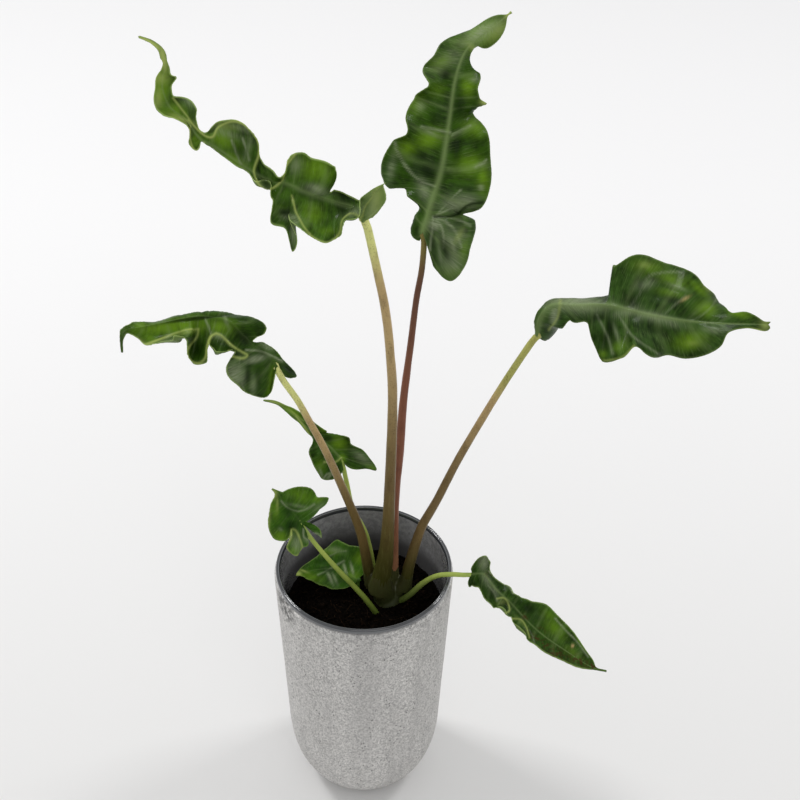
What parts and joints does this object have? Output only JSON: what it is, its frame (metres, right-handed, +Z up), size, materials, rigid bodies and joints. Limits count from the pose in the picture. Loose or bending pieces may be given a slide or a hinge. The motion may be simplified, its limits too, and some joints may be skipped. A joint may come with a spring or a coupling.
{
  "type": "potted alocasia",
  "caption": "Young alocasia with curled and twisted long-stalked leaves, in soil in a grey plastic liner inside a round-footed concrete pot.",
  "frame": {"origin": "centre of the pot's flat foot, on the surface it stands on", "axes": "+Z up along the pot's axis; the plant is seen from -Y in the picture, with +X to the right"},
  "size_m": [0.4195, 0.1913, 0.6055],
  "materials": {
    "concrete": "light grey cast concrete, rough, with fine upright streaks and small pits",
    "liner_plastic": "smoky grey, half clear, glossy thin moulded plastic",
    "soil": "dark moist potting soil with fibres and crumbs",
    "stem_base": "olive brown sheath bases with paler edges",
    "petiole_brown": "satin, olive brown with fine dark speckles, yellow-green at the top",
    "petiole_red": "satin, reddish purple-brown",
    "petiole_green": "satin, light yellow-green",
    "leaf": "waxy dark green with yellow-green patches, pale midrib, thin pale margin and paler underside"
  },
  "bodies": {
    "root": {"pot": "concrete", "liner": "liner_plastic", "soil": "soil", "stem_base": "stem_base", "petiole_1": "petiole_brown", "petiole_2": "petiole_red", "petiole_3": "petiole_brown", "petiole_4": "petiole_brown", "petiole_5": "petiole_green", "petiole_6": "petiole_green", "petiole_7": "petiole_green", "petiole_8": "petiole_green", "blade_1": "leaf", "blade_2": "leaf", "blade_3": "leaf", "blade_4": "leaf", "blade_5": "leaf", "blade_6": "leaf", "blade_7": "leaf", "blade_8": "leaf"}
  },
  "joints": []
}
